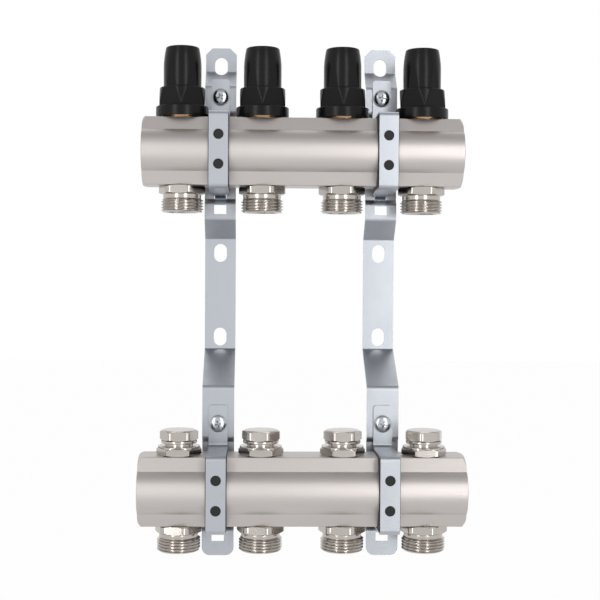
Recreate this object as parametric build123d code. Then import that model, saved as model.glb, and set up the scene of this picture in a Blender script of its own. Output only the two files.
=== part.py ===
from build123d import *
from math import asin, cos, radians, sin, sqrt, tan
import os

# Distribution manifold for four heating circuits: a supply bar above, a return bar below, two wall brackets.
# Frame: X along the bars, +Y into the wall, +Z up. The origin lies on the wall plane, midway between the
# brackets and midway between the two bar axes. All sizes are millimetres.

# Circuits and bars
CIRCUITS = 4
OUTLET_PITCH = 50.0
BAR_OVERHANG = 24.0  # from the last outlet's axis to the bar's end
BAR_SPACING = 207.0  # between the two bar axes
BAR_HALF_DEPTH = 22.0  # from the bar's axis to its front
BAR_ARC_R = 16.0  # convex front and back of the extruded bar
BAR_HEIGHT = 42.0  # across the flats
BAR_FLAT_HALF = 12.0  # half the width of the top and bottom flats
CREASE_Z = 12.75  # where the convex front meets the sloping facet
BAR_EDGE_R = 0.8  # rounding of the extrusion's long edges
END_THREAD_R = 15.15  # minor radius of the G1 thread in each bar end
END_THREAD_DEPTH = 14.0
WATERWAY_R = 14.4
END_CHAMFER = 1.0
END_TURN_R = 21.4  # the bar's corners are turned back to this radius at its end faces
END_TURN_SLOPE = 0.75  # length of that turned cone over its depth
PORT_R = 9.3  # minor radius of the G1/2 ports, top and bottom
PORT_TAIL = 6.5  # how far a fitting's shank reaches into its port
GASKET_W = 1.1
GASKET_H = 0.9

# Brackets, folded from steel strip
STRIP_T = 2.0
STRIP_WIDTH = 20.0
BRACKET_SPACING = 103.6
UPPER_STAND_OFF = 14.0  # wall to the front of the upper seat section
LOWER_STAND_OFF = 34.0
SEAT_DEPTH = 2.0  # the section behind each bar is set back by this
BEND_R = 2.4
TOP_TAB_Z = 174.7
TOP_TAB_BEND_Z = 159.0
UPPER_BEND_Z = 147.2
UPPER_FOOT = 40.0  # below the upper axis, where the strip turns back to the wall
WALL_TOP_Z = 51.0
WALL_BOTTOM_Z = -21.5
LOWER_BEND_Z = -43.8
FOOT_BELOW_AXIS = 45.8  # from the lower axis down to the strip's lower end
SEAT_ABOVE = 28.3  # the set-back seat starts this far above the axis
SEAT_BELOW = 30.2
TAB_CHAMFER = 4.2
FOOT_CORNER_R = 5.0
SLOT_WIDTH = 8.3
SLOT_LENGTH = 11.7
TAB_SLOT_Z = 162.9
WALL_SLOT_Z = (41.5, -13.3)
HOOK_SLOT_TOP = 23.7  # below the bar's axis
HOOK_SLOT_HEIGHT = 3.7
HOOK_SLOT_WIDTH = 7.8
WINDOW_TOP = 31.4
WINDOW_HEIGHT = 5.8

# Straps, liners and clamp screws
STRAP_T = 1.5
STRAP_WIDTH = 11.8
STRAP_BEND_R = 2.2
STRAP_TAB_TOP = 49.0  # above the bar's axis
STRAP_SCREW_Z = 37.5
STRAP_CLEAR = 1.0  # between the bar's top flat and the strap
STRAP_HOLE_R = 2.75
TAB_CORNER = 1.2
TONGUE_WIDTH = 7.2
TONGUE_DROP = 4.2  # the hooked end behind the bracket
TONGUE_START = 9.0  # in front of the bracket, where the strap narrows
LINER_T = 1.0  # rubber at the middle of the bar's front
LINER_WIDTH = 12.6
LINER_BACK = 7.5  # the liner's ends lie this far behind the bar's axis
BUTTON_R = 3.1
BUTTON_PITCH = 18.0
BUTTON_SUNK = 0.3
SCREW_R = 2.5
SCREW_HEAD_R = 5.4
SCREW_HEAD_H = 3.0
SCREW_EDGE_H = 1.0  # straight part of the head, below its dome
SCREW_LENGTH = 7.5
SCREW_TIP = 0.5

# Supply valve inserts, pins and springs
RUNNING = 0.05  # radial clearance of a piece that turns or slides in another
STOP_GAP = 0.05  # between a shut seal and the rim it closes on
STROKE = 3.0  # lift of either kind of valve
COLLAR_THREAD_R = 15.0  # M30 x 1.5
COLLAR_H = 5.6
COLLAR_CHAMFER = 0.6
BARREL_R = 7.6
CHAMBER_R = 5.0
CHAMBER_FLOOR = 1.8
INSERT_RISE = 12.0  # above the bar's top flat
GLAND_R = 5.5
GLAND_H = 4.0
PIN_R = 1.8
PIN_TIP_CHAMFER = 0.4
SHOULDER_R = 4.8
SHOULDER_H = 1.4
SHOULDER_GAP = 0.2  # left under the gland with the valve open
PIN_PROUD = 4.0  # above the gland with the valve shut
SPRING_R = 4.3
SPRING_WIRE_R = 0.45
SPRING_TURNS = 4
DISC_R = 8.6
DISC_H = 2.4
SEAL_T = 1.6

# Hand caps
CAP_GAP = 0.7  # between the bar's flat and the cap's rim with the valve shut
CAP_COLLAR_R = 16.5
CAP_COLLAR_H = 6.5
CAP_INNER_GAP = 0.4  # above the threaded collar
CAP_WALL = 1.6
SKIRT_R_LOW = 14.9
SKIRT_R_TOP = 14.1
SKIRT_H = 11.8
SKIRT_BORE_R = 10.0
SKIRT_EDGE = 0.7
GRIP_R = 11.75
GRIP_R_TOP = 10.5
GRIP_STRAIGHT = 14.0
GRIP_TAPER = 11.2
GRIP_BORE_R = 8.4
GRIP_EDGE = 1.0
GRIP_DOME = 0.5
RIBS = 5  # wedge ribs left standing between the leaning flats of the skirt
FLAT_LOW = 12.0  # the flats' distance from the axis, at the collar
FLAT_HIGH = 13.3
GRIP_FLAT_LOW = 11.2
PUSHER_R = 3.4
PUSHER_WEBS = 3
WEB_T = 1.2

# Outlet fittings, both bars
OUTLET_THREAD_R = 13.22  # G3/4
OUTLET_HEX_AF = 27.0
OUTLET_HEX_H = 5.2
OUTLET_NECK_R = 11.8
OUTLET_NECK_H = 2.8
OUTLET_THREAD_L = 8.4
OUTLET_CHAMFER = 0.9
SOCKET_R = 9.1
SOCKET_DEPTH = 11.0
SOCKET_CONE = 1.2
OUTLET_WATERWAY_R = 6.2
SEAT_RIM_R = 8.2
SEAT_RIM_H = 1.0

# Return regulating valves
BODY_HEX_AF = 24.0
BODY_HEX_H = 4.3
BODY_RING_R = 12.9
BODY_RING_H = 1.3
BODY_THREAD_R = 8.6  # takes the cap
BODY_RISE = 12.2  # above the bar's top flat
BODY_CHAMFER = 0.6
SPINDLE_R = 4.6
SPINDLE_DROP = 3.5  # the shut spindle's top below the body's top
SPINDLE_HEAD_L = 13.5
ROD_R = 2.5
DRIVE_AF = 5.0
DRIVE_DEPTH = 4.5
ORING_DROP = 7.6  # the groove below the spindle's top
ORING_DEPTH = 1.3
ORING_H = 1.8
CAP_RISE = 1.7  # the groove between the body's ring and the cap's rim
CAP_RIM_R = 11.0
CAP_RIM_H = 1.7
CAP_HEX_AF = 21.0
CAP_HEX_R = 11.4  # the hexagon's corners are turned down to this
CAP_HEX_H = 6.2
CAP_ROOF = 2.0
CAP_SEAL_T = 0.9
CAP_SEAL_BORE_R = 5.8
CAP_TURN = (2.0, -9.0, 0.0, 14.0)  # how far each cap happens to be turned

# Places that follow from the sizes above
HALF_SPACING = BAR_SPACING / 2
BAR_HALF = BAR_HEIGHT / 2
BAR_LENGTH = (CIRCUITS - 1) * OUTLET_PITCH + 2 * BAR_OVERHANG
ARC_CENTRE = BAR_HALF_DEPTH - BAR_ARC_R
CREASE_Y = ARC_CENTRE + sqrt(BAR_ARC_R**2 - CREASE_Z**2)
UPPER_Y = -(UPPER_STAND_OFF - SEAT_DEPTH + BAR_HALF_DEPTH)
LOWER_Y = -(LOWER_STAND_OFF - SEAT_DEPTH + BAR_HALF_DEPTH)
OUTLET_X = [(i - (CIRCUITS - 1) / 2) * OUTLET_PITCH for i in range(CIRCUITS)]
SIDES = {"left": -BRACKET_SPACING / 2, "right": BRACKET_SPACING / 2}
LEVELS = {"upper": (UPPER_Y, HALF_SPACING), "lower": (LOWER_Y, -HALF_SPACING)}
SHANK_Z = BAR_HALF - PORT_TAIL  # lower end of a valve's shank; an outlet's rim is at minus this
SEAL_Z = STOP_GAP - SHANK_Z  # lower face of a shut seal or disc
STRAP_BACK = BAR_HALF_DEPTH - SEAT_DEPTH  # front plane of the bracket, measured from the bar's axis
INSERT_TOP = BAR_HALF + INSERT_RISE
PIN_TOP = INSERT_TOP + PIN_PROUD
SHOULDER_TOP = INSERT_TOP - GLAND_H - STROKE - SHOULDER_GAP
SPRING_FLOOR = SHANK_Z + CHAMBER_FLOOR
BODY_TOP = BAR_HALF + BODY_RISE
SPINDLE_TOP = BODY_TOP - SPINDLE_DROP
CAP_RIM_Z = BAR_HALF + BODY_HEX_H + BODY_RING_H + CAP_RISE
CAP_TOP = CAP_RIM_Z + CAP_RIM_H + CAP_HEX_H


def turned(points):
    """A solid of revolution about Z from radius and height pairs."""
    with BuildPart() as body:
        with BuildSketch(Plane.XZ):
            with BuildLine():
                Polyline(*points, close=True)
            make_face()
        revolve(axis=Axis.Z)
    return body.part


def ring(outer, inner, low, high):
    """A plain ring about Z."""
    return turned([(inner, low), (outer, low), (outer, high), (inner, high)])


def hexagon(across_flats, low, high, corner_r, chamfer_low, chamfer_high):
    """A hexagon about Z, its corners turned to corner_r and cut back by 30 degree cones."""
    with BuildPart() as body:
        with BuildSketch(Plane.XY.offset(low)):
            RegularPolygon(across_flats / 2, 6, major_radius=False)
        extrude(amount=high - low)
    flat = across_flats / 2
    drop = (corner_r - flat) * tan(radians(30))
    outline = [(0, low), (flat if chamfer_low else corner_r, low)]
    outline += [(corner_r, low + drop)] if chamfer_low else []
    outline += [(corner_r, high - drop)] if chamfer_high else []
    outline += [(flat if chamfer_high else corner_r, high), (0, high)]
    return body.part & turned(outline)


def dome_middle(radius, height, top):
    """The middle of a spherical cap's arc from the given radius up to the axis at top."""
    sphere_r = (radius**2 + height**2) / (2 * height)
    half_angle = asin(radius / sphere_r) / 2
    return (sphere_r * sin(half_angle), top - sphere_r * (1 - cos(half_angle)))


def bar_face():
    """The bar's section: convex front and back, sloping facets and narrow flats."""
    with BuildSketch() as section:
        with BuildLine():
            ThreePointArc((-CREASE_Y, -CREASE_Z), (-BAR_HALF_DEPTH, 0), (-CREASE_Y, CREASE_Z))
            Polyline((-CREASE_Y, CREASE_Z), (-BAR_FLAT_HALF, BAR_HALF), (BAR_FLAT_HALF, BAR_HALF), (CREASE_Y, CREASE_Z))
            ThreePointArc((CREASE_Y, CREASE_Z), (BAR_HALF_DEPTH, 0), (CREASE_Y, -CREASE_Z))
            Polyline((CREASE_Y, -CREASE_Z), (BAR_FLAT_HALF, -BAR_HALF), (-BAR_FLAT_HALF, -BAR_HALF), (-CREASE_Y, -CREASE_Z))
        make_face()
        fillet(section.vertices(), BAR_EDGE_R)
    return section.sketch


def bar_end_cutter():
    """The threaded socket of a bar's end, opening at z = 0 and running up."""
    return turned([(0, 0), (END_THREAD_R + END_CHAMFER, 0), (END_THREAD_R, END_CHAMFER),
                   (END_THREAD_R, END_THREAD_DEPTH), (0, END_THREAD_DEPTH)])


def turned_ends():
    """The room that the lathe leaves around a bar: both ends coned back from the end faces."""
    reach = 2 * BAR_HEIGHT
    back = (reach - END_TURN_R) * END_TURN_SLOPE
    half = BAR_LENGTH / 2
    return Rot(0, 90, 0) * turned([(0, -half), (END_TURN_R, -half), (reach, back - half), (reach, half - back),
                                   (END_TURN_R, half), (0, half)])


def bar(level):
    """One extruded bar with its waterway, its threaded and turned ends and its ports."""
    y, z = LEVELS[level]
    with BuildPart() as body:
        with BuildSketch(Plane.YZ.offset(-BAR_LENGTH / 2)):
            add(bar_face())
            Circle(WATERWAY_R, mode=Mode.SUBTRACT)
        extrude(amount=BAR_LENGTH)
    shape = body.part & turned_ends()
    shape -= Pos(-BAR_LENGTH / 2, 0, 0) * Rot(0, 90, 0) * bar_end_cutter()
    shape -= Pos(BAR_LENGTH / 2, 0, 0) * Rot(0, -90, 0) * bar_end_cutter()
    recess = BAR_HALF - GASKET_H
    for x in OUTLET_X:
        shape -= Pos(x, 0, 0) * Cylinder(PORT_R, 2 * BAR_HEIGHT)
        shape -= Pos(x, 0, 0) * ring(PORT_R + GASKET_W, PORT_R / 2, recess, BAR_HEIGHT)
        shape -= Pos(x, 0, 0) * ring(PORT_R + GASKET_W, PORT_R / 2, -BAR_HEIGHT, -recess)
    return Pos(0, y, z) * shape


def gaskets():
    """The rings that seal every fitting at its port."""
    upper = ring(PORT_R + GASKET_W, PORT_R, BAR_HALF - GASKET_H, BAR_HALF)
    lower = ring(PORT_R + GASKET_W, PORT_R, -BAR_HALF, GASKET_H - BAR_HALF)
    return [Pos(x, y, z) * one for y, z in LEVELS.values() for x in OUTLET_X for one in (upper, lower)]


def bracket_path():
    """The strip's centre line in the YZ plane, from the top tab down."""
    half = STRIP_T / 2
    upper_y = half - UPPER_STAND_OFF
    lower_y = half - LOWER_STAND_OFF
    path = [(-half, TOP_TAB_Z), (-half, TOP_TAB_BEND_Z), (upper_y, UPPER_BEND_Z)]
    path += seat_path(upper_y, HALF_SPACING)
    path += [(upper_y, HALF_SPACING - UPPER_FOOT), (-half, WALL_TOP_Z)]
    path += [(-half, WALL_BOTTOM_Z), (lower_y, LOWER_BEND_Z)]
    path += seat_path(lower_y, -HALF_SPACING)
    path += [(lower_y, -HALF_SPACING - FOOT_BELOW_AXIS)]
    return path


def seat_path(y, z):
    """The four corners of the set-back section behind a bar."""
    return [(y, z + SEAT_ABOVE), (y + SEAT_DEPTH, z + SEAT_ABOVE - SEAT_DEPTH),
            (y + SEAT_DEPTH, z - SEAT_BELOW + SEAT_DEPTH), (y, z - SEAT_BELOW)]


def strip_blank():
    """The strip's outline seen from the front, which shapes the folded strip's two ends."""
    bottom = -HALF_SPACING - FOOT_BELOW_AXIS
    with BuildPart() as blank:
        with BuildSketch(Plane.XZ):
            with Locations((0, (TOP_TAB_Z + bottom) / 2)):
                Rectangle(STRIP_WIDTH, TOP_TAB_Z - bottom)
        extrude(amount=2 * LOWER_STAND_OFF, both=True)
        uprights = blank.edges().filter_by(Axis.Y).group_by(Axis.Z)
        chamfer(uprights[-1], TAB_CHAMFER)
        uprights = blank.edges().filter_by(Axis.Y).group_by(Axis.Z)
        fillet(uprights[0], FOOT_CORNER_R)
    return blank.part


def slot_cutter(z):
    """A cutter through the strip for one vertical wall slot."""
    with BuildPart() as cutter:
        with BuildSketch(Plane.XZ):
            with Locations((0, z)):
                SlotOverall(SLOT_LENGTH, SLOT_WIDTH, rotation=90)
        extrude(amount=2 * LOWER_STAND_OFF, both=True)
    return cutter.part


def window_cutter(z, height):
    """A cutter through the strip for one rectangular window whose top edge is at z."""
    return Pos(0, 0, z - height / 2) * Box(HOOK_SLOT_WIDTH, 4 * LOWER_STAND_OFF, height)


def bracket(side):
    """One wall bracket: folded strip with wall slots, strap windows and tapped clamp holes."""
    with BuildPart() as strip:
        with BuildSketch(Plane.YZ.offset(-STRIP_WIDTH / 2)):
            with BuildLine():
                FilletPolyline(*bracket_path(), radius=BEND_R)
            trace(line_width=STRIP_T)
        extrude(amount=STRIP_WIDTH)
    shape = strip.part & strip_blank()
    for z in (TAB_SLOT_Z,) + WALL_SLOT_Z:
        shape -= slot_cutter(z)
    for y, z in LEVELS.values():
        shape -= window_cutter(z - HOOK_SLOT_TOP, HOOK_SLOT_HEIGHT)
        shape -= window_cutter(z - WINDOW_TOP, WINDOW_HEIGHT)
        shape -= Pos(0, 0, z + STRAP_SCREW_Z) * Rot(90, 0, 0) * Cylinder(SCREW_R, 4 * LOWER_STAND_OFF)
    return Pos(SIDES[side], 0, 0) * shape


def strap_section():
    """The strap's folded section about the bar's axis: tab, top leg, front, sloping leg and hook."""
    tab_y = STRAP_BACK - STRAP_T / 2
    leg_z = BAR_HALF + STRAP_CLEAR + STRAP_T / 2
    front_y = -(BAR_HALF_DEPTH + LINER_T + STRAP_T / 2)
    hook_y = BAR_HALF_DEPTH + STRIP_T + STRAP_T / 2 + RUNNING
    hook_z = -(HOOK_SLOT_TOP + STRAP_T)
    path = [(tab_y, STRAP_TAB_TOP), (tab_y, leg_z), (front_y, leg_z), (front_y, -leg_z),
            (hook_y, hook_z), (hook_y, hook_z - TONGUE_DROP)]
    with BuildSketch() as section:
        with BuildLine():
            FilletPolyline(*path, radius=STRAP_BEND_R)
        trace(line_width=STRAP_T)
    with BuildSketch() as inside:
        with BuildLine():
            FilletPolyline(*path[1:5], radius=STRAP_BEND_R)
            Line(path[4], path[1])
        make_face()
    return section.sketch, inside.sketch


def strap(side, level):
    """One clamp strap, hooked through the bracket below the bar and screwed to it above."""
    y, z = LEVELS[level]
    section, inside = strap_section()
    with BuildPart() as body:
        with BuildSketch(Plane.YZ.offset(-STRAP_WIDTH / 2)):
            add(section)
        extrude(amount=STRAP_WIDTH)
        chamfer(body.edges().filter_by(Axis.Y).group_by(Axis.Z)[-1], TAB_CORNER)
    shape = body.part
    margin = (STRAP_WIDTH - TONGUE_WIDTH) / 2
    length = TONGUE_START + 3 * STRAP_T + SEAT_DEPTH + STRIP_T
    for hand in (-1, 1):
        side_cut = Box(2 * margin, length, 4 * TONGUE_DROP)
        shape -= Pos(hand * STRAP_WIDTH / 2, STRAP_BACK - TONGUE_START + length / 2, -HOOK_SLOT_TOP - TONGUE_DROP) * side_cut
    shape -= Pos(0, STRAP_BACK, STRAP_SCREW_Z) * Rot(90, 0, 0) * Cylinder(STRAP_HOLE_R, 4 * STRAP_T)
    for step in (-0.5, 0.5):
        hole = Rot(90, 0, 0) * Cylinder(BUTTON_R + RUNNING, 4 * STRAP_T)
        shape -= Pos(0, -BAR_HALF_DEPTH - LINER_T, step * BUTTON_PITCH) * hole
    return Pos(SIDES[side], y, z) * shape


def liner(side, level):
    """The rubber between a strap and its bar, with the two buttons that hold it in the strap."""
    y, z = LEVELS[level]
    section, inside = strap_section()
    with BuildSketch() as room:
        with Locations((LINER_BACK - 2 * BAR_HALF_DEPTH, 0)):
            Rectangle(4 * BAR_HALF_DEPTH, 4 * BAR_HALF_DEPTH)
    rubber = (inside & room.sketch) - section - bar_face()
    with BuildPart() as body:
        with BuildSketch(Plane.YZ.offset(-LINER_WIDTH / 2)):
            add(rubber)
        extrude(amount=LINER_WIDTH)
    shape = body.part
    depth = LINER_T / 2 + STRAP_T - BUTTON_SUNK
    for step in (-0.5, 0.5):
        button = Rot(90, 0, 0) * Cylinder(BUTTON_R, depth)
        shape += Pos(0, -BAR_HALF_DEPTH - LINER_T / 2 - depth / 2, step * BUTTON_PITCH) * button
    return Pos(SIDES[side], y, z) * shape


def clamp_screw(side, level):
    """One pan-head clamp screw through a strap's tab into the bracket."""
    y, z = LEVELS[level]
    with BuildPart() as body:
        with BuildSketch(Plane.XZ):
            with BuildLine():
                Polyline((0, SCREW_HEAD_H), (0, -SCREW_LENGTH), (SCREW_R - SCREW_TIP, -SCREW_LENGTH),
                         (SCREW_R, SCREW_TIP - SCREW_LENGTH), (SCREW_R, 0), (SCREW_HEAD_R, 0),
                         (SCREW_HEAD_R, SCREW_EDGE_H))
                ThreePointArc((SCREW_HEAD_R, SCREW_EDGE_H),
                              dome_middle(SCREW_HEAD_R, SCREW_HEAD_H - SCREW_EDGE_H, SCREW_HEAD_H), (0, SCREW_HEAD_H))
            make_face()
        revolve(axis=Axis.Z)
    return Pos(SIDES[side], y + STRAP_BACK - STRAP_T, z + STRAP_SCREW_Z) * Rot(90, 0, 0) * body.part


def supply_insert():
    """The brass valve insert: shank, M30 collar, barrel and the spring's chamber."""
    collar_top = BAR_HALF + COLLAR_H
    return turned([(PIN_R + RUNNING, SHANK_Z), (PORT_R, SHANK_Z), (PORT_R, BAR_HALF), (BAR_FLAT_HALF, BAR_HALF),
                   (COLLAR_THREAD_R, BAR_HALF + COLLAR_THREAD_R - BAR_FLAT_HALF),
                   (COLLAR_THREAD_R, collar_top - COLLAR_CHAMFER), (COLLAR_THREAD_R - COLLAR_CHAMFER, collar_top),
                   (BARREL_R, collar_top), (BARREL_R, INSERT_TOP - COLLAR_CHAMFER),
                   (BARREL_R - COLLAR_CHAMFER, INSERT_TOP), (GLAND_R, INSERT_TOP), (GLAND_R, INSERT_TOP - GLAND_H),
                   (CHAMBER_R, INSERT_TOP - GLAND_H), (CHAMBER_R, SPRING_FLOOR), (PIN_R + RUNNING, SPRING_FLOOR)])


def gland_nut():
    """The ring screwed into the barrel's top, which guides the pin."""
    return ring(GLAND_R, PIN_R + RUNNING, INSERT_TOP - GLAND_H, INSERT_TOP)


def valve_pin():
    """The pin with its spring shoulder and the plate that carries the seal."""
    plate = SEAL_Z + SEAL_T
    return turned([(0, plate), (DISC_R, plate), (DISC_R, plate + DISC_H), (PIN_R, plate + DISC_H),
                   (PIN_R, SHOULDER_TOP - SHOULDER_H), (SHOULDER_R, SHOULDER_TOP - SHOULDER_H),
                   (SHOULDER_R, SHOULDER_TOP), (PIN_R, SHOULDER_TOP), (PIN_R, PIN_TOP - PIN_TIP_CHAMFER),
                   (PIN_R - PIN_TIP_CHAMFER, PIN_TOP), (0, PIN_TOP)])


def disc_seal():
    """The rubber disc that closes on the outlet's rim."""
    return Pos(0, 0, SEAL_Z + SEAL_T / 2) * Cylinder(DISC_R, SEAL_T)


def valve_spring():
    """The coil spring between the chamber's floor and the pin's shoulder, valve shut."""
    low = SPRING_FLOOR + SPRING_WIRE_R + STOP_GAP
    high = SHOULDER_TOP - SHOULDER_H - SPRING_WIRE_R - STOP_GAP
    coil = Helix(pitch=(high - low) / SPRING_TURNS, height=high - low, radius=SPRING_R)
    with BuildPart() as body:
        with BuildSketch(Plane(origin=coil @ 0, z_dir=coil % 0)):
            Circle(SPRING_WIRE_R)
        sweep(path=coil, is_frenet=True)
    return Pos(0, 0, low) * body.part


def hand_cap():
    """The plastic hand cap: threaded collar, ribbed skirt, tapered grip and the pusher inside."""
    rim = BAR_HALF + CAP_GAP
    collar_top = rim + CAP_COLLAR_H
    skirt_top = collar_top + SKIRT_H
    grip_top = skirt_top + GRIP_STRAIGHT + GRIP_TAPER
    thread_top = BAR_HALF + COLLAR_H + CAP_INNER_GAP
    inner = [(0, PIN_TOP + STOP_GAP), (PUSHER_R, PIN_TOP + STOP_GAP), (PUSHER_R, grip_top - CAP_WALL),
             (GRIP_BORE_R, grip_top - CAP_WALL), (GRIP_BORE_R, skirt_top - CAP_WALL),
             (SKIRT_BORE_R, skirt_top - CAP_WALL), (SKIRT_BORE_R, thread_top),
             (COLLAR_THREAD_R + RUNNING, thread_top), (COLLAR_THREAD_R + RUNNING, rim)]
    outer = [(CAP_COLLAR_R, rim), (CAP_COLLAR_R, collar_top - SKIRT_EDGE / 2),
             (CAP_COLLAR_R - SKIRT_EDGE, collar_top), (SKIRT_R_LOW, collar_top),
             (SKIRT_R_TOP, skirt_top - SKIRT_EDGE), (SKIRT_R_TOP - SKIRT_EDGE, skirt_top), (GRIP_R, skirt_top),
             (GRIP_R, skirt_top + GRIP_STRAIGHT), (GRIP_R_TOP, grip_top - GRIP_EDGE)]
    with BuildPart() as body:
        with BuildSketch(Plane.XZ):
            with BuildLine():
                Polyline(*inner, *outer)
                ThreePointArc((GRIP_R_TOP, grip_top - GRIP_EDGE), (GRIP_R_TOP - 0.3 * GRIP_EDGE, grip_top - 0.3 * GRIP_EDGE),
                              (GRIP_R_TOP - GRIP_EDGE, grip_top))
                ThreePointArc((GRIP_R_TOP - GRIP_EDGE, grip_top),
                              dome_middle(GRIP_R_TOP - GRIP_EDGE, GRIP_DOME, grip_top + GRIP_DOME),
                              (0, grip_top + GRIP_DOME))
                Line((0, grip_top + GRIP_DOME), inner[0])
            make_face()
        revolve(axis=Axis.Z)
    shape = body.part
    skirt_cut = leaning_cut(FLAT_LOW, collar_top, FLAT_HIGH, skirt_top)
    grip_cut = leaning_cut(GRIP_FLAT_LOW, skirt_top, GRIP_R, skirt_top + GRIP_STRAIGHT)
    for i in range(RIBS):
        turn = Rot(0, 0, (i + 0.5) * 360 / RIBS - 90)
        shape -= turn * skirt_cut
        shape -= turn * grip_cut
    web_low = skirt_top
    web_high = grip_top - CAP_WALL
    web_length = GRIP_BORE_R - PUSHER_R
    for i in range(PUSHER_WEBS):
        web = Box(web_length + CAP_WALL / 2, WEB_T, web_high - web_low + CAP_WALL / 2)
        place = Pos(PUSHER_R + web_length / 2, 0, (web_low + web_high) / 2)
        shape += Rot(0, 0, i * 360 / PUSHER_WEBS + 90) * place * web
    return shape


def leaning_cut(near_low, low, near_high, high):
    """A cutter beside the axis on +X whose near face leans outward from low to high."""
    far = 2 * CAP_COLLAR_R
    with BuildPart() as cutter:
        with BuildSketch(Plane.XZ):
            with BuildLine():
                Polyline((near_low, low), (far, low), (far, high), (near_high, high), close=True)
            make_face()
        extrude(amount=CAP_COLLAR_R, both=True)
    return cutter.part


def outlet():
    """An outlet nipple: seat rim and shank in the bar, hexagon, neck, G3/4 thread and a coned socket."""
    hex_low = -BAR_HALF - OUTLET_HEX_H
    neck_low = hex_low - OUTLET_NECK_H
    end = neck_low - OUTLET_THREAD_L
    shank = turned([(OUTLET_WATERWAY_R, -SHANK_Z), (SEAT_RIM_R, -SHANK_Z), (SEAT_RIM_R, -SHANK_Z - SEAT_RIM_H),
                    (PORT_R, -SHANK_Z - SEAT_RIM_H), (PORT_R, -BAR_HALF), (OUTLET_NECK_R, -BAR_HALF),
                    (OUTLET_NECK_R, neck_low), (OUTLET_THREAD_R - OUTLET_CHAMFER, neck_low),
                    (OUTLET_THREAD_R, neck_low - OUTLET_CHAMFER), (OUTLET_THREAD_R, end + OUTLET_CHAMFER),
                    (OUTLET_THREAD_R - OUTLET_CHAMFER, end), (SOCKET_R + SOCKET_CONE, end),
                    (SOCKET_R, end + SOCKET_CONE), (SOCKET_R, end + SOCKET_DEPTH),
                    (OUTLET_WATERWAY_R, end + SOCKET_DEPTH)])
    corner_r = OUTLET_HEX_AF / sqrt(3)
    nut = hexagon(OUTLET_HEX_AF, hex_low, -BAR_HALF, corner_r, True, True)
    hole = Pos(0, 0, -BAR_HALF) * Cylinder(OUTLET_NECK_R - SOCKET_CONE, 4 * OUTLET_HEX_H)
    return shank + (nut - hole)


def return_body():
    """The return valve's body: shank, hexagon, ring and the thread that takes the cap."""
    hex_top = BAR_HALF + BODY_HEX_H
    ring_top = hex_top + BODY_RING_H
    bore = SPINDLE_R + RUNNING
    core = turned([(bore, SHANK_Z), (PORT_R, SHANK_Z), (PORT_R, hex_top), (BODY_RING_R, hex_top),
                   (BODY_RING_R, ring_top), (BODY_THREAD_R, ring_top), (BODY_THREAD_R, BODY_TOP - BODY_CHAMFER),
                   (BODY_THREAD_R - BODY_CHAMFER, BODY_TOP), (bore, BODY_TOP)])
    corner_r = BODY_HEX_AF / sqrt(3)
    nut = hexagon(BODY_HEX_AF, BAR_HALF, hex_top, corner_r, True, False)
    hole = Pos(0, 0, BAR_HALF) * Cylinder(PORT_R - GASKET_W, 4 * BODY_HEX_H)
    return core + (nut - hole)


def spindle():
    """The regulating spindle: hexagon drive, O-ring groove, rod and closing disc."""
    groove = SPINDLE_TOP - ORING_DROP
    head_low = SPINDLE_TOP - SPINDLE_HEAD_L
    shape = turned([(0, SEAL_Z), (DISC_R, SEAL_Z), (DISC_R, SEAL_Z + DISC_H + SEAL_T), (ROD_R, SEAL_Z + DISC_H + SEAL_T),
                    (ROD_R, head_low), (SPINDLE_R, head_low), (SPINDLE_R, groove - ORING_H),
                    (SPINDLE_R - ORING_DEPTH, groove - ORING_H), (SPINDLE_R - ORING_DEPTH, groove),
                    (SPINDLE_R, groove), (SPINDLE_R, SPINDLE_TOP), (0, SPINDLE_TOP)])
    with BuildPart() as drive:
        with BuildSketch(Plane.XY.offset(SPINDLE_TOP)):
            RegularPolygon(DRIVE_AF / 2, 6, major_radius=False)
        extrude(amount=-DRIVE_DEPTH)
    return shape - drive.part


def spindle_oring():
    """The ring in the spindle's groove, slightly shorter than the groove."""
    groove = SPINDLE_TOP - ORING_DROP
    return ring(SPINDLE_R + RUNNING / 2, SPINDLE_R - ORING_DEPTH, groove - ORING_H + RUNNING, groove - RUNNING)


def return_cap():
    """The nickel cap over a return valve: round rim, hexagon and roof, open below."""
    rim_top = CAP_RIM_Z + CAP_RIM_H
    bore = BODY_THREAD_R + RUNNING
    rim = turned([(0, CAP_RIM_Z), (CAP_RIM_R, CAP_RIM_Z), (CAP_RIM_R, rim_top), (0, rim_top)])
    nut = hexagon(CAP_HEX_AF, rim_top, CAP_TOP, CAP_HEX_R, True, True)
    cavity = turned([(0, CAP_RIM_Z - 1), (bore, CAP_RIM_Z - 1), (bore, CAP_TOP - CAP_ROOF), (0, CAP_TOP - CAP_ROOF)])
    return rim + nut - cavity


def cap_seal():
    """The flat ring under the return cap's roof."""
    roof = CAP_TOP - CAP_ROOF
    return ring(BODY_THREAD_R, CAP_SEAL_BORE_R, roof - CAP_SEAL_T, roof)


os.makedirs("parts", exist_ok=True)


def write(name, solids):
    """Writes one node's STEP file, one solid or a group of separate ones."""
    shape = solids[0] if len(solids) == 1 else Compound(children=list(solids))
    export_step(shape, "parts/" + name + ".step")


write("supply_rail", [bar("upper")])
write("return_rail", [bar("lower")])
for side in SIDES:
    write(side + "_bracket", [bracket(side)])
    for level in LEVELS:
        write(side + "_" + level + "_strap", [strap(side, level)])
corners = [(side, level) for side in SIDES for level in LEVELS]
write("strap_liners", [liner(*corner) for corner in corners])
write("clamp_screws", [clamp_screw(*corner) for corner in corners])
write("port_gaskets", gaskets())

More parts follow.
